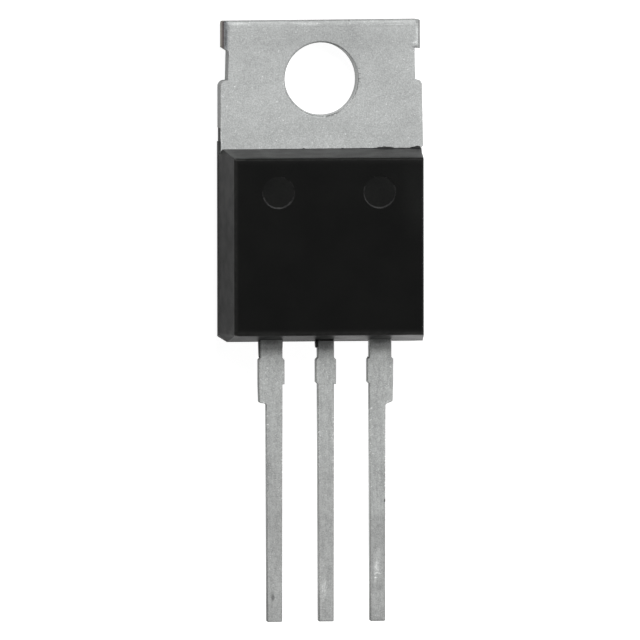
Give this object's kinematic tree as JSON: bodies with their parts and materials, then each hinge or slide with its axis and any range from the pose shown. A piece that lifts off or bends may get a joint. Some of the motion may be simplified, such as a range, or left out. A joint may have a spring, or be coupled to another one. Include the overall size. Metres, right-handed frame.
{
  "type": "rf power transistor",
  "caption": "Moulded power transistor with a drilled metal mounting tab at one end and flat stepped leads in a row at the other.",
  "frame": {"origin": "mounting hole's axis in the tab's back face", "axes": "+Y from the leads to the tab's free end, +Z out of the moulded face along the hole, +X to the right seen from the moulded face with the tab up"},
  "size_m": [0.0101, 0.0294, 0.0045],
  "materials": {
    "tinned_copper": "matte tin plating on copper, fine-grained",
    "molding_compound": "satin black epoxy moulding compound",
    "silicon": "polished silicon with a metallised face",
    "solder": "dull soft solder",
    "wire_aluminium": "drawn aluminium"
  },
  "bodies": {
    "root": {"heat_tab": "tinned_copper", "lead_left": "tinned_copper", "lead_right": "tinned_copper", "mold_body": "molding_compound", "die": "silicon", "die_solder": "solder", "bond_wire_left_inner": "wire_aluminium", "bond_wire_left_outer": "wire_aluminium", "bond_wire_right_inner": "wire_aluminium", "bond_wire_right_outer": "wire_aluminium"}
  },
  "joints": []
}
